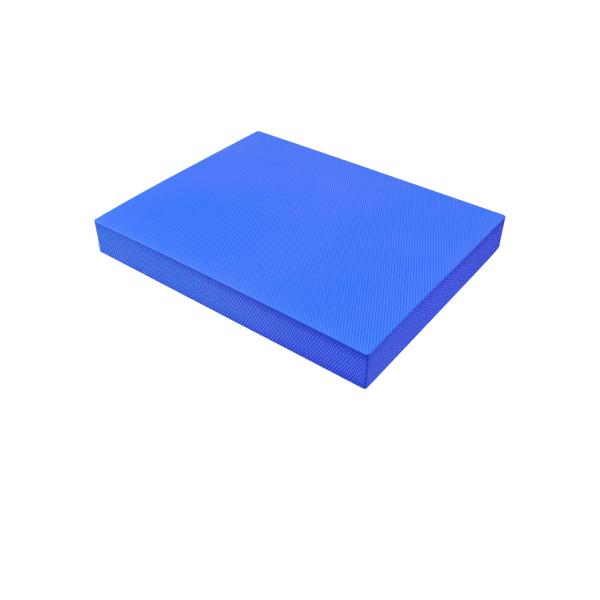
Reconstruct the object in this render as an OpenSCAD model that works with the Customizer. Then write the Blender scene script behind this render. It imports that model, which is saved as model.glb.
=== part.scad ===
// Balance pad: a laminated block of closed-cell foam inside an embossed foam skin.
//
// X runs along the long side, Y from the front side to the rear side, Z up.
// The origin is the centre of the face that the pad lies on. Outer sizes are over
// the crests of the embossing. All pieces are bonded face to face, with no gap.

/* [Pad] */
// Length of the pad, along X
pad_length = 480; // [300:1:600]
// Width of the pad, along Y
pad_width = 380; // [250:1:500]
// Height of the pad, along Z
pad_height = 58; // [40:1:90]

/* [Edges] */
// Radius of the four upright corners, seen from above
corner_radius = 6; // [5:0.5:40]
// Radius of the rounded edges of the top and bottom
edge_radius = 2; // [2:0.25:4.5]

/* [Skin] */
// Thickness of the embossed skin
skin_thickness = 1.5; // [0.8:0.1:1.9]

/* [Core] */
// Thickness of each hot-melt film between two foam layers
film_thickness = 0.3; // [0.1:0.05:1]
// Height of the middle foam layer
middle_layer_height = 18; // [8:0.5:24]

/* [Hidden] */

// The core is the pad less its skin on every side
core_length = pad_length - 2 * skin_thickness;
core_width = pad_width - 2 * skin_thickness;
core_corner_radius = corner_radius - skin_thickness;
core_edge_radius = edge_radius - skin_thickness;
core_bottom = skin_thickness;
core_top = pad_height - skin_thickness;

// The side skins stand between the rolled rims of the bottom and top skins
side_bottom = edge_radius;
side_top = pad_height - edge_radius;

// The middle foam layer is centred in the height, with a film on each face
middle_bottom = (pad_height - middle_layer_height) / 2;
middle_top = middle_bottom + middle_layer_height;
lower_layer_top = middle_bottom - film_thickness;
upper_layer_bottom = middle_top + film_thickness;

// Half the distance between the axes of the upright corners
corner_axis_x = pad_length / 2 - corner_radius;
corner_axis_y = pad_width / 2 - corner_radius;

skin_blue = [0.27, 0.49, 0.98];
side_blue = [0.26, 0.42, 0.88];
foam_blue = [0.36, 0.56, 0.95];
film_milky = [0.85, 0.88, 0.92];

$fn = 96;

// Upright section of a slab that is half_width wide from its axis, with round edges
module slab_section(half_width, low, high, edge_r) {
    inset = half_width - edge_r;
    translate([-half_width, low + edge_r])
        square([2 * half_width, high - low - 2 * edge_r]);
    translate([-inset, low])
        square([2 * inset, high - low]);
    for (side = [-1, 1], level = [low + edge_r, high - edge_r])
        translate([side * inset, level])
            circle(r = edge_r);
}

// Half of the same section, for turning about the axis of a corner
module half_section(radius, low, high, edge_r) {
    intersection() {
        slab_section(radius, low, high, edge_r);
        translate([0, low])
            square([radius, high - low]);
    }
}

// Slab with upright corners of corner_r and every other edge rounded to edge_r
module rounded_slab(length, width, low, high, corner_r, edge_r) {
    axis_x = length / 2 - corner_r;
    axis_y = width / 2 - corner_r;
    rotate([90, 0, 90])
        linear_extrude(height = 2 * axis_x, center = true)
            slab_section(width / 2, low, high, edge_r);
    rotate([90, 0, 0])
        linear_extrude(height = 2 * axis_y, center = true)
            slab_section(length / 2, low, high, edge_r);
    for (x = [-axis_x, axis_x], y = [-axis_y, axis_y])
        translate([x, y, 0])
            rotate_extrude()
                half_section(corner_r, low, high, edge_r);
}

module pad_outside() {
    rounded_slab(pad_length, pad_width, 0, pad_height, corner_radius, edge_radius);
}

module core_block() {
    rounded_slab(core_length, core_width, core_bottom, core_top, core_corner_radius, core_edge_radius);
}

// Everything between two heights
module between(low, high) {
    translate([-pad_length, -pad_width, low])
        cube([2 * pad_length, 2 * pad_width, high - low]);
}

// Rectangle with round corners, in plan
module plan_outline(length, width, corner_r) {
    square([length, width - 2 * corner_r], center = true);
    square([length - 2 * corner_r, width], center = true);
    for (x = [-1, 1], y = [-1, 1])
        translate([x * (length / 2 - corner_r), y * (width / 2 - corner_r)])
            circle(r = corner_r);
}

// The band of skin round the sides, in plan
module side_band() {
    difference() {
        plan_outline(pad_length, pad_width, corner_radius);
        plan_outline(core_length, core_width, core_corner_radius);
    }
}

// The part of the plan that belongs to the side at -Y: it ends at mitres through the corner axes
module long_side_sector() {
    reach = 2 * corner_radius;
    polygon([
        [-corner_axis_x, -corner_axis_y],
        [-corner_axis_x - reach, -corner_axis_y - reach],
        [corner_axis_x + reach, -corner_axis_y - reach],
        [corner_axis_x, -corner_axis_y]
    ]);
}

// The part of the plan that belongs to the side at +X
module short_side_sector() {
    reach = 2 * corner_radius;
    polygon([
        [corner_axis_x, -corner_axis_y],
        [corner_axis_x + reach, -corner_axis_y - reach],
        [corner_axis_x + reach, corner_axis_y + reach],
        [corner_axis_x, corner_axis_y]
    ]);
}

module long_side_skin() {
    translate([0, 0, side_bottom])
        linear_extrude(height = side_top - side_bottom)
            intersection() {
                side_band();
                long_side_sector();
            }
}

module short_side_skin() {
    translate([0, 0, side_bottom])
        linear_extrude(height = side_top - side_bottom)
            intersection() {
                side_band();
                short_side_sector();
            }
}

// Skin of one face, with the rolled rim that reaches the side skins
module face_skin(low, high) {
    intersection() {
        difference() {
            pad_outside();
            core_block();
        }
        between(low, high);
    }
}

module foam_layer(low, high) {
    intersection() {
        core_block();
        between(low, high);
    }
}

module bond_film(low) {
    translate([0, 0, low])
        linear_extrude(height = film_thickness)
            plan_outline(core_length, core_width, core_corner_radius);
}

module top_skin() {
    color(skin_blue) face_skin(side_top, pad_height);
}

module bottom_skin() {
    color(skin_blue) face_skin(0, side_bottom);
}

module front_side_skin() {
    color(side_blue) long_side_skin();
}

module rear_side_skin() {
    color(side_blue) mirror([0, 1, 0]) long_side_skin();
}

module right_side_skin() {
    color(side_blue) short_side_skin();
}

module left_side_skin() {
    color(side_blue) mirror([1, 0, 0]) short_side_skin();
}

module upper_foam_layer() {
    color(foam_blue) foam_layer(upper_layer_bottom, core_top);
}

module middle_foam_layer() {
    color(foam_blue) foam_layer(middle_bottom, middle_top);
}

module lower_foam_layer() {
    color(foam_blue) foam_layer(core_bottom, lower_layer_top);
}

module upper_bond_film() {
    color(film_milky) bond_film(middle_top);
}

module lower_bond_film() {
    color(film_milky) bond_film(lower_layer_top);
}

top_skin();
bottom_skin();
front_side_skin();
rear_side_skin();
left_side_skin();
right_side_skin();
upper_foam_layer();
middle_foam_layer();
lower_foam_layer();
upper_bond_film();
lower_bond_film();
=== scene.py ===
"""Balance pad: a laminated block of closed-cell foam in an embossed foam skin.

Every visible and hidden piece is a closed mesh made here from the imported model's own boxes. The six
skins carry a lattice of raised lozenges as real geometry. All lengths are in metres.
"""

import math

import bpy
import numpy as np
from mathutils import Matrix, Vector


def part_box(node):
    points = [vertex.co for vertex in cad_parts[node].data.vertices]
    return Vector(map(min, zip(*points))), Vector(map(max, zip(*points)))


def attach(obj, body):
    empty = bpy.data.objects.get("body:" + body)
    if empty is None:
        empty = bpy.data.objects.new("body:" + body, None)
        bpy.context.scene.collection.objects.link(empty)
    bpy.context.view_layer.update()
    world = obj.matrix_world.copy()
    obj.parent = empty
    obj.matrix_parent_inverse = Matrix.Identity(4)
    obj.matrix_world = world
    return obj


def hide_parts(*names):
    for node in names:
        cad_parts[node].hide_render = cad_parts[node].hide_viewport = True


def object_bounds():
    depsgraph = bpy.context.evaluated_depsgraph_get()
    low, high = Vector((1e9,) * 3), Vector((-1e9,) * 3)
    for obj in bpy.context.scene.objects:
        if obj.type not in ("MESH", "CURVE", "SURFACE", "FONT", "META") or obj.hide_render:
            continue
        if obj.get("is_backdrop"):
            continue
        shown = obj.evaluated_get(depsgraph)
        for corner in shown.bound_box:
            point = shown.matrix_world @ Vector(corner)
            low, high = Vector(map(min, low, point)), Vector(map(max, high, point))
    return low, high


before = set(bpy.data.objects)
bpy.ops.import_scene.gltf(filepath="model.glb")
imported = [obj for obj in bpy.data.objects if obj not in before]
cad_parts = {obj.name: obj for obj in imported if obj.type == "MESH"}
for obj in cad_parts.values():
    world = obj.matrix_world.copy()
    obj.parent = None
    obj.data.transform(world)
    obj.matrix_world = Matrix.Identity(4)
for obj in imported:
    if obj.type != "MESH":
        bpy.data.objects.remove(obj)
cad_low, cad_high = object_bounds()

MM = 0.001
BODY = "root"

# Driving sizes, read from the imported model
HALF_X = cad_high.x
HALF_Y = cad_high.y
HEIGHT = cad_high.z
EDGE_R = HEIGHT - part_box("top_skin")[0].z
SKIN = HALF_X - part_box("upper_foam_layer")[1].x
MITRE = math.radians(45)
CORNER_R = (HALF_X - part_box("front_side_skin")[1].x) / (1 - math.cos(MITRE))

# The embossing: lozenges in a centred lattice
PITCH = 4.16 * MM  # across the lozenges
CELL = 7.65 * MM  # along the lozenges
DEPTH = 0.6 * MM  # from the crests to the bottom of the grooves
STEPS = 4  # mesh lines in each pitch and in each cell
SHOULDER = 0.4  # drop half-way from a lozenge's centre to its edge, as a share of the depth
STRETCH = 0.12  # how much less that is along the lozenges, and how much more across them
SPREAD = 0.3  # how far those places move outwards along the lozenges, in mesh steps
# How much shallower the grooves are along one of their two diagonals, as a share of the depth
FACE_LINK = 0.28
LONG_SIDE_LINK = 0.2
LINK_DRIFT = 0.7  # how much more that is at the right end of a long side than in its middle, as a share

# The rolled rims and the joints between the skins
JOINT_WIDTH = 0.5 * MM  # from the edge of a skin to its full height
JOINT_DEPTH = 0.5 * MM
RIM_PROUD = 0.3 * MM  # how far the rolled rims of the top and bottom stand out past the side skins
RIM_FADE = 0.9  # how far round a rim the embossing runs, as an angle
PRESSED_END = 0.7 * MM  # beside the upright joints, where the long sides are pressed flat
WORN = 60 * MM  # how far from the front end of the right side the embossing is partly rubbed away
WORN_SHARE = 0.5  # how much of it is gone at that end
WORN_CORNER = 0.5  # how much of it is gone on the rounded corners of the short sides

# The tone of the skin, from 0 in the dark joints to 1 on the crests. Paler crests are a painted highlight
# and darker grooves painted shade; the tone also carries the rims' painted light and the sides' painted shade
JOINT_TONE = 0.0
UPRIGHT_TONE = 0.45  # in the joints at the upright corners
GROOVE_TONE = 0.4
FACE_TONE = 0.75  # of the embossed faces, on average
FACE_CONTRAST = 0.9  # of the faces' tones about their average, in the middle
FACE_CONTRAST_DRIFT = 0.25  # how much more that is at the right front corner, and less at the left rear one
PLAIN_TONE = 0.5  # where the embossing of a side is rubbed away
# The rims' tones by side, and at their foot, where they meet the side skins. They are painted light:
# each rim painted lighter or darker by how light falls on its side, and the feet darker as painted shade
UPPER_RIM_PAINTED_LIGHT = {"front": 0.84, "right": 0.4, "rear": 0.7, "left": 0.7, "foot": 0.3}
LOWER_RIM_PAINTED_LIGHT = {"front": 0.75, "right": 0.7, "rear": 0.55, "left": 0.55, "foot": 0.6}
# Painted shade: the rims' painted highlight fades towards the right end
RIM_PAINTED_SHADE_DRIFT = 0.25  # how much darker the rims are at the right end than in the middle
FOOT_START = 0.75  # how far round a rim its foot begins, as an angle
# Painted shade on the side skins: how much darker they are below the upper rim and above the lower one,
# and how far that reaches
UPPER_SHADE, UPPER_REACH = 0.12, 14 * MM
LOWER_SHADE, LOWER_REACH = 0.06, 14 * MM
SHORT_SIDE_SHARE = 0.15  # how much of the lower shade there is on the short sides
# How much darker each of them is at the right end of a side than in its middle, as a share
UPPER_DRIFT, LOWER_DRIFT = 0.7, 1.0
SIDE_TONE = 0.7  # of the embossed sides, on average
CONTRAST_DRIFT = 0.2  # how much more contrast a long side has at its right end than in its middle, as a share

# How the soft block settles: how far each upper corner sinks, by the signs of its x and y
SINK = {(-1, -1): 3.6 * MM, (1, -1): 2.0 * MM, (-1, 1): 1.0 * MM, (1, 1): 0.0}
SINK_POWER = 2.5
WAVE = 0.12 * MM  # gentle unevenness of the upper face
# How far an upright corner stands out past its rounding, at the bottom and at the top
CRISP = {(1, -1): (1.1 * MM, -0.4 * MM), (1, 1): (1.0 * MM, -0.4 * MM), (-1, 1): (0.0, 0.3 * MM)}
LIFT = {(1, 1): 4.5 * MM}  # how far a lower corner stands off the floor
LIFT_POWER = 8

CLEARANCE = 0.05 * MM  # between hidden faces, so that none coincide

# The meshes
STEP_ACROSS = PITCH / STEPS
STEP_ALONG = CELL / STEPS
COARSE = 16 * MM  # mesh step of the skins' smooth inner faces
FOAM_STEP = 8 * MM  # mesh step of the foam layers and the films
RIM_RINGS = 5  # mesh rings round the edge of an embossed face
HIDDEN_RINGS = 3  # the same for a smooth one
CUT_EDGE = 0.25 * MM  # rounding of the foam's cut edges
SHARP_ANGLE = math.radians(80)  # edges bent by more than this are shaded sharp


# ---------------------------------------------------------------- mesh helpers


class Patch:
    """A surface with one closed border: points, triangles, the border's indices in order, where each of
    those lies along the border, from 0 to 4, one for each side, and the tone of each point."""

    def __init__(self, points, triangles, border, along, tone):
        self.points = points
        self.triangles = triangles
        self.border = border
        self.along = along
        self.tone = tone


def grid_indices(columns, rows):
    return np.arange(columns * rows).reshape(columns, rows)


def grid_triangles(index, diagonal_up):
    """Two triangles for each square of a grid. diagonal_up says, for each square, which way it is cut."""
    a, b = index[:-1, :-1], index[1:, :-1]
    d, c = index[:-1, 1:], index[1:, 1:]
    up = diagonal_up[..., None]
    first = np.where(up, np.stack([a, b, c], -1), np.stack([a, b, d], -1))
    second = np.where(up, np.stack([a, c, d], -1), np.stack([b, c, d], -1))
    return np.concatenate([first.reshape(-1, 3), second.reshape(-1, 3)])


def grid_border(index):
    """The grid's border, anticlockwise, and each point's place along it. The corners are at 0, 1, 2 and 3."""
    columns, rows = index.shape
    border = np.concatenate([index[:-1, 0], index[-1, :-1], index[:0:-1, -1], index[0, :0:-1]])
    across = np.arange(columns - 1) / (columns - 1)
    upward = np.arange(rows - 1) / (rows - 1)
    return border, np.concatenate([across, 1 + upward, 2 + across, 3 + upward])


def ring_triangles(inner, outer):
    """The strip between two closed rings with as many points each."""
    inner_next, outer_next = np.roll(inner, -1), np.roll(outer, -1)
    return np.concatenate([
        np.stack([inner, outer, outer_next], -1),
        np.stack([inner, outer_next, inner_next], -1),
    ])


def bridge_triangles(ring, ring_along, other, other_along):
    """The strip between two closed rings whose points differ in number but start at the same corner."""
    triangles = []
    i, j = 0, 0
    ring_along = np.append(ring_along, 4.0)
    other_along = np.append(other_along, 4.0)
    while i < len(ring) or j < len(other):
        a, b = ring[i % len(ring)], other[j % len(other)]
        if j >= len(other) or (i < len(ring) and ring_along[i + 1] <= other_along[j + 1]):
            triangles.append((a, b, ring[(i + 1) % len(ring)]))
            i += 1
        else:
            triangles.append((a, b, other[(j + 1) % len(other)]))
            j += 1
    return np.array(triangles)


def closed_shell(outside, inside):
    """A closed mesh from two patches. The triangles of the second are turned round to face the other way."""
    start = len(outside.points)
    points = np.concatenate([outside.points, inside.points])
    triangles = np.concatenate([
        outside.triangles,
        inside.triangles[:, ::-1] + start,
        bridge_triangles(outside.border, outside.along, inside.border + start, inside.along),
    ])
    return points, triangles, np.concatenate([outside.tone, inside.tone])


# ---------------------------------------------------------------- the embossing


def lattice_drop(i, j):
    """Height below the crests, as a share of the depth, at any place of the lattice. i and j are in mesh
    steps, and a lozenge's centre lies where both are even and their sum is a multiple of STEPS."""
    a, b = (i + j) / STEPS, (i - j) / STEPS
    out = 2 * np.maximum(np.abs(a - np.round(a)), np.abs(b - np.round(b)))
    return np.interp(out, [0, 0.5, 1], [0, SHOULDER, 1])


def lozenges(columns, rows, along_j, first_row, link):
    """For a stretch of the lattice, the place of each mesh point, in steps, its drop, and which way each
    square is cut. The lozenges lie along j if along_j is true, and otherwise along i. link makes the
    grooves that follow one diagonal shallower."""
    i = np.arange(columns)[:, None] + np.zeros(rows)
    j = np.arange(rows)[None, :] + first_row + np.zeros((columns, 1))
    beside_i = (i % 2 == 1) & (j % 2 == 0)
    beside_j = (j % 2 == 1) & (i % 2 == 0)
    spread_i, spread_j = (0, SPREAD) if along_j else (SPREAD, 0)
    shift_i = np.where((i - 1 + j) % STEPS == 0, spread_i, -spread_i) * beside_i
    shift_j = np.where((i + j - 1) % STEPS == 0, spread_j, -spread_j) * beside_j
    shift_i[[0, -1]] = 0
    shift_j[:, [0, -1]] = 0
    stretch = STRETCH if along_j else -STRETCH
    drop = lattice_drop(i, j) + stretch * beside_i - stretch * beside_j
    drop -= link * ((i % 2 == 1) & (j % 2 == 1) & ((i - j) % STEPS == 2))
    cut = (i[:-1, :-1] // 2 + j[:-1, :-1] // 2) % 2 == 1
    return i + shift_i, j + shift_j, drop, cut


# Painted highlight and shade of the embossing: paler on the crests, darker in the grooves
def painted_relief_shading(drop):
    return 1 - (1 - GROOVE_TONE) * drop


def lines(half_straight, corner, step):
    """Mesh lines across a face: evenly spaced between the corners, then evenly over each corner."""
    middle = np.linspace(-half_straight, half_straight, round(2 * half_straight / step) + 1)
    count = max(1, round(corner / step))
    beyond = half_straight + corner * np.arange(1, count + 1) / count
    return np.concatenate([-beyond[::-1], middle, beyond])


# ---------------------------------------------------------------- the faces


def rounded_plan(x, y, straight_x, straight_y, radius):
    """Moves points of a rectangle so that its corners become round, with that radius."""
    u = np.clip((np.abs(x) - straight_x) / radius, 0, 1)
    v = np.clip((np.abs(y) - straight_y) / radius, 0, 1)
    round_x = straight_x + radius * u * np.sqrt(1 - v * v / 2)
    round_y = straight_y + radius * v * np.sqrt(1 - u * u / 2)
    return np.where(u > 0, np.sign(x) * round_x, x), np.where(v > 0, np.sign(y) * round_y, y)


def by_side(outward, values):
    """A value for each outward direction, from those of the four sides."""
    x, y = outward.T
    of_x = np.where(x > 0, values["right"], values["left"])
    of_y = np.where(y > 0, values["rear"], values["front"])
    return x * x * of_x + y * y * of_y


def face(inset, edge_r, level, step_x, step_y, rings, rim_painted_light=None):
    """A face of the block, seen from above, with its rounded edge running down to level - edge_r in that
    many mesh rings. inset is how far the face's sides lie inside the pad's. A face with rim_painted_light is
    embossed, and its lozenges fade out over the edge."""
    embossed = rim_painted_light is not None
    straight_x, straight_y = HALF_X - CORNER_R, HALF_Y - CORNER_R
    radius = CORNER_R - inset - edge_r
    x_lines = lines(straight_x, radius, step_x)
    y_lines = lines(straight_y, radius, step_y)
    columns, rows = len(x_lines), len(y_lines)
    index = grid_indices(columns, rows)
    place_i, place_j = np.meshgrid(np.arange(columns), np.arange(rows), indexing="ij")
    drop = np.zeros((columns, rows))
    cut = np.zeros((columns - 1, rows - 1), bool)
    if embossed:
        place_i, place_j, drop, cut = lozenges(columns, rows, True, 0, FACE_LINK)
    x = np.interp(place_i, np.arange(columns), x_lines)
    y = np.interp(place_j, np.arange(rows), y_lines)
    x, y = rounded_plan(x, y, straight_x, straight_y, radius)
    points = [np.stack([x, y, level - drop * DEPTH], -1).reshape(-1, 3)]
    contrast = FACE_CONTRAST + FACE_CONTRAST_DRIFT * (x / HALF_X - y / HALF_Y) / 2
    tone = [(FACE_TONE + (painted_relief_shading(drop) - FACE_TONE) * contrast).reshape(-1)]
    triangles = [grid_triangles(index, cut)]

    ring, along = grid_border(index)
    edge = points[0][ring, :2]
    outward = edge - np.clip(edge, (-straight_x, -straight_y), (straight_x, straight_y))
    outward /= np.linalg.norm(outward, axis=1)[:, None]
    edge_i, edge_j = place_i.reshape(-1)[ring], place_j.reshape(-1)[ring]
    quarter = along.astype(int)
    ahead_i = np.choose(quarter, [0, 1, 0, -1]) / step_x
    ahead_j = np.choose(quarter, [-1, 0, 1, 0]) / step_y
    last_turn = math.acos(JOINT_WIDTH / edge_r) if embossed else math.pi / 2
    rim_painted_tone, foot_painted_shade = np.ones(len(edge)), 1
    if embossed:
        # The rims' painted light and shade, by side and towards the right end
        rim_painted_tone = by_side(outward, rim_painted_light) - RIM_PAINTED_SHADE_DRIFT * np.clip(edge[:, 0] / HALF_X, 0, 1)
        foot_painted_shade = rim_painted_light["foot"]
    count = len(points[0])
    for turn in np.linspace(0, last_turn, rings + 1)[1:]:
        fall = np.zeros(len(edge))
        fade = min(1, turn / RIM_FADE)
        if embossed:
            beyond_i = edge_i + ahead_i * edge_r * turn
            beyond_j = edge_j + ahead_j * edge_r * turn
            fall = lattice_drop(beyond_i, beyond_j) * (1 - fade)
        reach = (edge_r - fall * DEPTH) * math.sin(turn)
        height = level - edge_r + (edge_r - fall * DEPTH) * math.cos(turn)
        points.append(np.column_stack([edge + outward * reach[:, None], height]))
        rim = rim_painted_tone + (foot_painted_shade - rim_painted_tone) * max(0, (turn - FOOT_START) / (last_turn - FOOT_START))
        tone.append(painted_relief_shading(fall) * (1 - fade) + rim * fade)
    if embossed:
        low_edge = edge + outward * (edge_r - JOINT_DEPTH)
        points.append(np.column_stack([low_edge, np.full(len(edge), level - edge_r)]))
        tone.append(np.full(len(edge), JOINT_TONE))
    for _ in points[1:]:
        next_ring = np.arange(len(edge)) + count
        triangles.append(ring_triangles(ring, next_ring))
        ring = next_ring
        count += len(edge)
    return Patch(np.concatenate(points), np.concatenate(triangles), ring, along, np.concatenate(tone))


# ---------------------------------------------------------------- the sides


def side_path(s, half_straight, depth, radius):
    """Points and outward directions along a side that bends round half of each corner, s from its middle."""
    beyond = np.clip(np.abs(s) - half_straight, 0, None) / CORNER_R
    angle = np.sign(s) * beyond
    along = np.clip(s, -half_straight, half_straight) + radius * np.sin(angle)
    out = depth - CORNER_R + radius * np.cos(angle)
    return along, out, np.sin(angle), np.cos(angle)


def side(half_length, depth, inset, step_s, step_z, embossed, pressed_end=0.0, worn=0.0):
    """One side of the block in its own axes: along the side, outwards, and up. The embossing runs to the
    upright joints. Over the length pressed_end beside them it is pressed flat. Without a pressed_end it is
    partly rubbed away on the rounded corners, and over the length worn at the end where s is negative."""
    half_straight = half_length - CORNER_R
    arc = CORNER_R * MITRE
    margin = JOINT_WIDTH if embossed else 0
    low, high = EDGE_R + margin, HEIGHT - EDGE_R - margin
    s_lines = lines(half_straight, arc - margin, step_s)
    z_lines = np.linspace(low, high, round((high - low) / step_z) + 1)
    if embossed:
        s_lines = np.concatenate([[-half_straight - arc], s_lines, [half_straight + arc]])
        z_lines = np.concatenate([[EDGE_R], z_lines, [HEIGHT - EDGE_R]])
    columns, rows = len(s_lines), len(z_lines)
    plain_s, plain_z = np.meshgrid(np.arange(columns), np.arange(rows), indexing="ij")
    place_s, place_z = plain_s, plain_z
    sink = np.zeros((columns, rows))
    tone = np.ones((columns, rows))
    cut = np.zeros((columns - 1, rows - 1), bool)
    if embossed:
        upright = step_z > step_s  # as the lozenges are on the long sides
        link = LONG_SIDE_LINK * upright * (1 + LINK_DRIFT * s_lines[:, None] / half_length)
        place_s, place_z, drop, cut = lozenges(columns, rows, upright, -1, link)
        straight = np.clip(half_straight - np.abs(s_lines), 0, None)[:, None]
        if pressed_end:
            to_end = half_straight + arc - margin - np.abs(s_lines)
            flat = np.clip(1 - to_end / pressed_end, 0, 1)[:, None]
            smooth = np.zeros((columns, 1))
        else:
            flat = np.zeros((columns, 1))
            smooth = WORN_CORNER * (straight == 0)
            if worn:
                first_half = (s_lines < 0)[:, None]
                smooth = np.maximum(smooth, WORN_SHARE * np.clip(1 - straight / worn, 0, 1) * first_half)
        still = np.maximum(flat, smooth)
        place_s = place_s + (plain_s - place_s) * still
        place_z = place_z + 1 + (plain_z - place_z - 1) * still
        drop = drop * (1 - smooth) * (1 - flat) + flat
        to_right = s_lines[:, None] / half_length
        # Painted shade below the upper rim and above the lower one, stronger towards the right end
        lower_shade = LOWER_SHADE * (1 if upright else SHORT_SIDE_SHARE)
        near_top = np.clip(1 - (high - z_lines) / UPPER_REACH, 0, 1)
        near_foot = np.clip(1 - (z_lines - low) / LOWER_REACH, 0, 1)
        shade = UPPER_SHADE * near_top * (1 + UPPER_DRIFT * to_right)
        shade += lower_shade * near_foot * (1 + LOWER_DRIFT * to_right)
        contrast = 1 + CONTRAST_DRIFT * upright * to_right
        tone = SIDE_TONE + (painted_relief_shading(drop) - SIDE_TONE) * contrast
        tone = tone * (1 - smooth) + PLAIN_TONE * smooth - shade
        joint = np.zeros((columns, rows), bool)
        joint[[0, -1]] = True
        joint[:, [0, -1]] = True
        tone[joint] = JOINT_TONE
        tone[[0, -1], 1:-1] = UPRIGHT_TONE
        sink = np.where(joint, JOINT_DEPTH, RIM_PROUD + drop * DEPTH)
    s = np.interp(place_s, np.arange(columns), s_lines)
    z = np.interp(place_z, np.arange(rows), z_lines)
    along, out, turn_along, turn_out = side_path(s, half_straight, depth, CORNER_R - inset)
    points = np.stack([along - turn_along * sink, out - turn_out * sink, z], -1).reshape(-1, 3)
    border, border_along = grid_border(grid_indices(columns, rows))
    triangles = grid_triangles(grid_indices(columns, rows), cut)
    return Patch(points, triangles, border, border_along, tone.reshape(-1))


def facing(patch, turns):
    """A side made at the front (-Y), turned by quarter turns about the block's axis: 1 is to the right."""
    along, out, up = patch.points.T
    quarter = math.radians(90 * turns)
    x = along * round(math.cos(quarter)) + out * round(math.sin(quarter))
    y = along * round(math.sin(quarter)) - out * round(math.cos(quarter))
    return Patch(np.stack([x, y, up], -1), patch.triangles, patch.border, patch.along, patch.tone)


# ---------------------------------------------------------------- finished pieces


def settled(points):
    """The soft block's own shape: its upper corners sink, one lower corner is lifted, its upper face isn't
    perfectly even, and its upright corners aren't all cut equally sharp."""
    x, y, z = points.T
    sink = np.zeros(len(points))
    for (sign_x, sign_y), depth in SINK.items():
        near = np.clip(sign_x * x / HALF_X, 0, None) * np.clip(sign_y * y / HALF_Y, 0, None)
        sink += depth * near ** SINK_POWER
    # Three crossing waves, with lengths in metres for each radian, lowered so that none rises past the box
    wave = (
        np.sin(x / 0.037 + 0.7) * np.sin(y / 0.043 + 1.9)
        + np.sin(x / 0.081 + y / 0.067 + 0.4)
        + np.sin(x / 0.059 - y / 0.094 + 2.2)
    ) * WAVE / 3 - WAVE
    lift = np.zeros(len(points))
    for (sign_x, sign_y), rise in LIFT.items():
        near = np.clip(sign_x * x / HALF_X, 0, 1) * np.clip(sign_y * y / HALF_Y, 0, 1)
        lift += rise * near ** LIFT_POWER
    z = z + (wave - sink) * z / HEIGHT + lift * (1 - z / HEIGHT)
    level = np.clip(z / HEIGHT, 0, 1)
    for (sign_x, sign_y), (lower, upper) in CRISP.items():
        across = np.clip((sign_x * x - HALF_X) / CORNER_R + 1, 0, 1)
        deep = np.clip((sign_y * y - HALF_Y) / CORNER_R + 1, 0, 1)
        out = (lower + (upper - lower) * level) * (2 * across * deep) ** 2 * math.sqrt(0.5)
        x, y = x + sign_x * out, y + sign_y * out
    return np.stack([x, y, z], -1)


def piece(name, shell, material, replaced):
    points, triangles, tone = shell
    mesh = bpy.data.meshes.new(name)
    mesh.from_pydata(settled(points).tolist(), [], triangles.tolist())
    attribute = mesh.attributes.new("tone", "FLOAT", "POINT")
    attribute.data.foreach_set("value", tone.astype(np.float32))
    mesh.polygons.foreach_set("use_smooth", np.ones(len(mesh.polygons), bool))
    mesh.set_sharp_from_angle(angle=SHARP_ANGLE)
    mesh.materials.append(material)
    made = bpy.data.objects.new(name, mesh)
    bpy.context.scene.collection.objects.link(made)
    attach(made, BODY)
    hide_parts(replaced)


# ---------------------------------------------------------------- materials

WHITE = (1, 1, 1)

# How fine each unevenness is: the larger the scale, the smaller the marks
BLOTCH_SCALE = 14
MOTTLE_SCALE = 90
ROUGHNESS_SCALE = 260
DIMPLE_SCALE = 700
GRAIN_SCALE = 1800
PORE_SCALE = 2600
FOAM_MOTTLE_SCALE = 30
FOAM_CELL_SCALE = 1500
FILM_TINT_SCALE = 60
FILM_PRESSED_SCALE = 900


def new_material(name):
    material = bpy.data.materials.new(name)
    material.use_nodes = True
    nodes = material.node_tree.nodes
    shader = nodes["Principled BSDF"]
    return material, nodes, material.node_tree.links, shader


def noise(nodes, links, place, scale, detail=3.0):
    node = nodes.new("ShaderNodeTexNoise")
    node.inputs["Scale"].default_value = scale
    node.inputs["Detail"].default_value = detail
    links.new(place, node.inputs["Vector"])
    return node.outputs["Fac"]


def cells(nodes, links, place, scale):
    """Distance from the centres of small round cells."""
    node = nodes.new("ShaderNodeTexVoronoi")
    node.inputs["Scale"].default_value = scale
    links.new(place, node.inputs["Vector"])
    return node.outputs["Distance"]


def ramp(nodes, links, value, stops):
    node = nodes.new("ShaderNodeValToRGB")
    links.new(value, node.inputs["Fac"])
    elements = node.color_ramp.elements
    while len(elements) < len(stops):
        elements.new(0.5)
    for element, (position, colour) in zip(elements, stops):
        element.position = position
        element.color = (*colour, 1)
    return node.outputs["Color"]


def uneven(nodes, links, place, scale, first, last, detail=3.0):
    """A colour that wanders between two tints."""
    return ramp(nodes, links, noise(nodes, links, place, scale, detail), [(0.3, first), (0.7, last)])


def multiply(nodes, links, first, second):
    node = nodes.new("ShaderNodeMix")
    node.data_type = "RGBA"
    node.blend_type = "MULTIPLY"
    sockets = {socket.name: socket for socket in node.inputs if socket.enabled}
    sockets["Factor"].default_value = 1
    links.new(first, sockets["A"])
    links.new(second, sockets["B"])
    return next(socket for socket in node.outputs if socket.enabled)


def to_range(nodes, links, value, low, high, value_low=0.0, value_high=1.0):
    node = nodes.new("ShaderNodeMapRange")
    node.inputs["From Min"].default_value = value_low
    node.inputs["From Max"].default_value = value_high
    node.inputs["To Min"].default_value = low
    node.inputs["To Max"].default_value = high
    links.new(value, node.inputs["Value"])
    return node.outputs["Result"]


def bump(nodes, links, height, distance, strength, before=None):
    node = nodes.new("ShaderNodeBump")
    node.inputs["Distance"].default_value = distance
    node.inputs["Strength"].default_value = strength
    links.new(height, node.inputs["Height"])
    if before is not None:
        links.new(before, node.inputs["Normal"])
    return node.outputs["Normal"]


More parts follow.
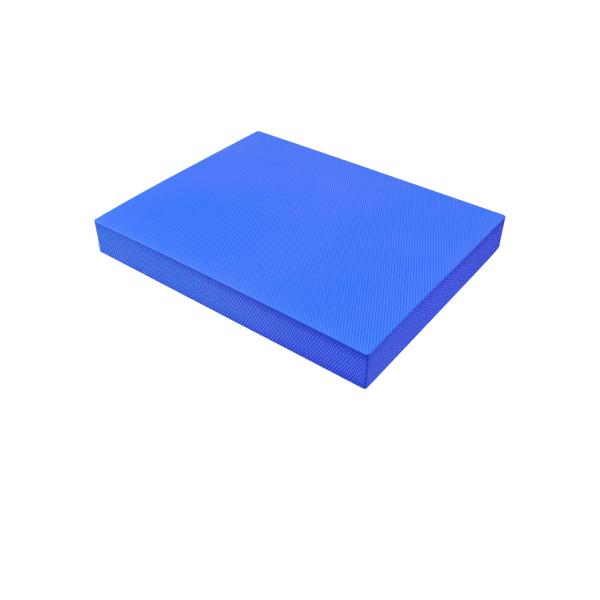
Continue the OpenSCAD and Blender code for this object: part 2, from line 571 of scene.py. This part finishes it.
def skin_material(name, tones, drifts, patches):
    """Embossed foam skin: crests painted paler as a painted highlight and grooves darker as painted shade,
    faint mottling and a fine pored surface. The tint drifts across the block in the given directions, and
    these drifts are partly painted light. The length of each is one over the distance from its first tint to
    its last. The patches are broad round areas with a tint of their own."""
    material, nodes, links, shader = new_material(name)
    place = nodes.new("ShaderNodeTexCoord").outputs["Object"]
    tone = nodes.new("ShaderNodeAttribute")
    tone.attribute_name = "tone"
    colour = ramp(nodes, links, tone.outputs["Fac"], tones)
    layers = []
    for direction, tints in drifts:
        across = nodes.new("ShaderNodeVectorMath")
        across.operation = "DOT_PRODUCT"
        across.inputs[1].default_value = direction
        links.new(place, across.inputs[0])
        share = to_range(nodes, links, across.outputs["Value"], 0, 1, -0.5, 0.5)
        layers.append(ramp(nodes, links, share, tints))
    for centre, radius, tint in patches:
        away = nodes.new("ShaderNodeVectorMath")
        away.operation = "DISTANCE"
        away.inputs[1].default_value = centre
        links.new(place, away.inputs[0])
        near = to_range(nodes, links, away.outputs["Value"], 1, 0, 0, radius)
        layers.append(ramp(nodes, links, near, [(0, WHITE), (1, tint)]))
    layers.append(uneven(nodes, links, place, BLOTCH_SCALE, (0.82, 0.98, 0.99), (1.14, 1.0, 1.0)))
    layers.append(uneven(nodes, links, place, MOTTLE_SCALE, (0.95, 0.97, 0.98), WHITE))
    layers.append(uneven(nodes, links, place, GRAIN_SCALE, (0.93, 0.94, 0.96), WHITE, detail=2))
    for layer in layers:
        colour = multiply(nodes, links, colour, layer)
    links.new(colour, shader.inputs["Base Color"])
    rough = to_range(nodes, links, noise(nodes, links, place, ROUGHNESS_SCALE), 0.5, 0.66)
    links.new(rough, shader.inputs["Roughness"])
    fine = bump(nodes, links, cells(nodes, links, place, PORE_SCALE), 0.08 * MM, 0.5)
    soft = bump(nodes, links, noise(nodes, links, place, DIMPLE_SCALE), 0.1 * MM, 0.4, fine)
    links.new(soft, shader.inputs["Normal"])
    shader.inputs["Specular IOR Level"].default_value = 0.07
    shader.inputs["Sheen Weight"].default_value = 0.02
    shader.inputs["Sheen Roughness"].default_value = 0.5
    return material


def foam_material():
    """Cut closed-cell foam: small round cells, fully matt."""
    material, nodes, links, shader = new_material("foam")
    place = nodes.new("ShaderNodeTexCoord").outputs["Object"]
    distance = cells(nodes, links, place, FOAM_CELL_SCALE)
    walls = ramp(nodes, links, distance, [(0.1, (0.05, 0.14, 0.6)), (0.6, (0.11, 0.27, 0.88))])
    mottle = uneven(nodes, links, place, FOAM_MOTTLE_SCALE, (0.9, 0.92, 0.95), WHITE)
    links.new(multiply(nodes, links, walls, mottle), shader.inputs["Base Color"])
    links.new(to_range(nodes, links, distance, 0.95, 0.8), shader.inputs["Roughness"])
    links.new(bump(nodes, links, distance, 0.3 * MM, 0.8), shader.inputs["Normal"])
    return material


def film_material():
    """Hot-melt bonding film: thin and milky, with the foam's cells pressed into it."""
    material, nodes, links, shader = new_material("bond_film")
    place = nodes.new("ShaderNodeTexCoord").outputs["Object"]
    pressed = noise(nodes, links, place, FILM_PRESSED_SCALE)
    tint = uneven(nodes, links, place, FILM_TINT_SCALE, (0.6, 0.67, 0.8), (0.74, 0.79, 0.88))
    links.new(tint, shader.inputs["Base Color"])
    links.new(to_range(nodes, links, pressed, 0.3, 0.5), shader.inputs["Roughness"])
    links.new(bump(nodes, links, pressed, 0.1 * MM, 0.5), shader.inputs["Normal"])
    return material


# The colour of each tone, on the top and bottom and on the sides. The sides' colours are partly painted
# light:
# darker grooves and paler crests than the top's, for light grazing the sides
TOP_TONES = [
    (JOINT_TONE, (0.010, 0.030, 0.28)),
    (GROOVE_TONE, (0.030, 0.087, 0.53)),
    (0.50, (0.030, 0.087, 0.53)),
    (1.00, (0.081, 0.210, 0.77)),
]
SIDE_TONES = [
    (JOINT_TONE, (0.006, 0.018, 0.28)),
    (GROOVE_TONE, (0.006, 0.036, 0.545)),
    (0.58, (0.006, 0.036, 0.545)),
    (1.00, (0.143, 0.375, 1.00)),
]
# Directions across the block, and the tints along them, from 0 to 1
BACKWARDS = (0, 0.5 / HALF_Y, 0)
RIGHTWARDS = (0.5 / HALF_X, 0, 0)
TO_RIGHT_REAR = (0.25 / HALF_X, 0.25 / HALF_Y, 0)
# Near 0.014, along the front edge, a painted highlight band; the other stops are tints
TINTS_BACKWARDS = [
    (0.0, (0.93, 1.0, 1.0)),
    (0.014, (0.94, 1.075, 1.0)),
    (0.03, (0.84, 1.0, 1.0)),
    (0.06, (0.76, 0.955, 1.0)),
    (0.16, (0.735, 0.926, 1.0)),
    (0.5, (0.83, 0.93, 1.0)),
    (1.0, (0.97, 0.92, 0.96)),
]
# At the left end, a painted shine; the other stops are tints
TINTS_RIGHTWARDS = [
    (0.0, (1.2, 1.06, 0.94)),
    (0.04, (1.1, 0.975, 0.955)),
    (0.12, (0.98, 0.975, 0.975)),
    (0.5, (1.05, 1.0, 1.0)),
    (0.8, (0.86, 1.0, 1.0)),
    (0.95, (0.93, 1.02, 1.01)),
    (1.0, (1.05, 1.07, 1.02)),
]
# Partly painted light: the sides painted lighter towards the left end, where light falls, and darker to the
# right rear
SIDE_TINTS_AND_PAINTED_LIGHT = [
    (0.0, (0.73, 0.985, 0.86)),
    (0.25, (0.97, 0.94, 0.94)),
    (0.42, (0.85, 0.68, 0.95)),
    (0.5, (0.83, 0.645, 0.97)),
    (0.75, (0.68, 0.54, 1.0)),
    (1.0, (0.42, 0.365, 0.90)),
]
# Centre, radius and tint of the round areas on the top
FACE_PATCHES = [
    ((-100 * MM, -80 * MM, HEIGHT), 120 * MM, (0.66, 0.99, 1.0)),
    ((-130 * MM, 85 * MM, HEIGHT), 110 * MM, (1.18, 1.0, 1.0)),
]
FACE_DRIFTS = [(BACKWARDS, TINTS_BACKWARDS), (RIGHTWARDS, TINTS_RIGHTWARDS)]
face_skin = skin_material("face_skin", TOP_TONES, FACE_DRIFTS, FACE_PATCHES)
side_skin = skin_material("side_skin", SIDE_TONES, [(TO_RIGHT_REAR, SIDE_TINTS_AND_PAINTED_LIGHT)], [])
foam = foam_material()
film = film_material()


# ---------------------------------------------------------------- the pad

face_outside = face(0, EDGE_R, HEIGHT, STEP_ACROSS, STEP_ALONG, RIM_RINGS, UPPER_RIM_PAINTED_LIGHT)
face_inside = face(SKIN, EDGE_R - SKIN, HEIGHT - SKIN, COARSE, COARSE, HIDDEN_RINGS)
piece("top_skin_embossed", closed_shell(face_outside, face_inside), face_skin, "top_skin")
underside = face(0, EDGE_R, HEIGHT, STEP_ACROSS, STEP_ALONG, RIM_RINGS, LOWER_RIM_PAINTED_LIGHT)
points, triangles, tone = closed_shell(underside, face_inside)
turned_over = (points * [1, 1, -1] + [0, 0, HEIGHT], triangles[:, ::-1], tone)
piece("bottom_skin_embossed", turned_over, face_skin, "bottom_skin")

# Each side's place, quarter turns, half length, distance from the middle, mesh steps along it and upwards,
# and how much of its embossing is pressed flat and worn
SIDES = (
    ("front", 0, HALF_X, HALF_Y, STEP_ACROSS, STEP_ALONG, PRESSED_END, 0.0),
    ("right", 1, HALF_Y, HALF_X, STEP_ALONG, STEP_ACROSS, 0.0, WORN),
    ("rear", 2, HALF_X, HALF_Y, STEP_ACROSS, STEP_ALONG, PRESSED_END, 0.0),
    ("left", 3, HALF_Y, HALF_X, STEP_ALONG, STEP_ACROSS, 0.0, 0.0),
)
for place, turns, half_length, depth, step_s, step_z, pressed_end, worn in SIDES:
    outer = facing(side(half_length, depth, 0, step_s, step_z, True, pressed_end, worn), turns)
    inner = facing(side(half_length, depth, SKIN, COARSE, COARSE, False), turns)
    name = f"{place}_side_skin"
    piece(name + "_embossed", closed_shell(outer, inner), side_skin, name)


def slab(low, high, edge_low, edge_high):
    """A closed slab inside the skin, with small rounded edges."""
    inset = SKIN + CLEARANCE
    upper = face(inset, edge_high, high - CLEARANCE, FOAM_STEP, FOAM_STEP, HIDDEN_RINGS)
    lower = face(inset, edge_low, high - low - CLEARANCE, FOAM_STEP, FOAM_STEP, HIDDEN_RINGS)
    lower.points = lower.points * [1, 1, -1] + [0, 0, high]
    return closed_shell(upper, lower)


for name in ("upper_foam_layer", "middle_foam_layer", "lower_foam_layer"):
    low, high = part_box(name)
    edge_high = EDGE_R - SKIN if name.startswith("upper") else CUT_EDGE
    edge_low = EDGE_R - SKIN if name.startswith("lower") else CUT_EDGE
    piece(name + "_foam", slab(low.z, high.z, edge_low, edge_high), foam, name)

for name in ("upper_bond_film", "lower_bond_film"):
    low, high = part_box(name)
    sheet = slab(low.z, high.z, CLEARANCE, CLEARANCE)
    piece(name + "_melt", sheet, film, name)


# ---------------------------------------------------------------- stage, light and camera


def make_floor(half):
    mesh = bpy.data.meshes.new("studio_floor")
    corners = [(-half, -half, 0), (half, -half, 0), (half, half, 0), (-half, half, 0)]
    mesh.from_pydata(corners, [], [(0, 1, 2, 3)])
    material, _, _, shader = new_material("studio_floor")
    shader.inputs["Base Color"].default_value = (0.75, 0.75, 0.75, 1)
    shader.inputs["Roughness"].default_value = 0.9
    shader.inputs["Specular IOR Level"].default_value = 0.1
    mesh.materials.append(material)
    floor = bpy.data.objects.new("studio_floor", mesh)
    bpy.context.scene.collection.objects.link(floor)
    floor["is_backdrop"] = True


def add_light(data, place, target):
    light = bpy.data.objects.new(data.name, data)
    light.location = place
    light.rotation_mode = "QUATERNION"
    light.rotation_quaternion = (Vector(target) - Vector(place)).to_track_quat("-Z", "Y")
    bpy.context.scene.collection.objects.link(light)


def overhead_light(place, strength, softness):
    """A large distant soft source, so that the floor is evenly lit all over."""
    data = bpy.data.lights.new("overhead", "SUN")
    data.energy = strength
    data.angle = softness
    add_light(data, place, (0, 0, 0))


def soft_panel(name, place, target, size, power):
    data = bpy.data.lights.new(name, "AREA")
    data.shape = "DISK"
    data.size = size
    data.energy = power
    add_light(data, place, target)


def make_camera():
    """A plain camera: where it stands, which way it looks, and a slight roll."""
    azimuth, elevation, roll = math.radians(36.717), math.radians(38.517), math.radians(0.483)
    data = bpy.data.cameras.new("camera")
    data.sensor_width = 36.0
    data.lens = 41.95
    camera = bpy.data.objects.new("camera", data)
    camera.location = (0.52657, -0.70652, 0.60273)
    ahead = Vector((
        -math.sin(azimuth) * math.cos(elevation),
        math.cos(azimuth) * math.cos(elevation),
        -math.sin(elevation),
    ))
    camera.rotation_mode = "QUATERNION"
    level = ahead.to_track_quat("-Z", "Y")
    camera.rotation_quaternion = Matrix.Rotation(-roll, 4, ahead).to_quaternion() @ level
    bpy.context.scene.collection.objects.link(camera)
    bpy.context.scene.camera = camera


def make_world(strength):
    world = bpy.data.worlds.new("studio")
    world.use_nodes = True
    background = world.node_tree.nodes["Background"]
    background.inputs["Color"].default_value = (1, 1, 1, 1)
    background.inputs["Strength"].default_value = strength
    bpy.context.scene.world = world


make_floor(half=6.0)
make_world(strength=0.25)
overhead_light(place=(0.30, -0.15, 1.0), strength=4.35, softness=math.radians(25))
soft_panel("left_fill", place=(-0.95, -0.85, 0.35), target=(-0.1, -0.1, HEIGHT), size=0.5, power=7)
make_camera()
bpy.context.scene.view_settings.view_transform = "Standard"

low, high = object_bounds()
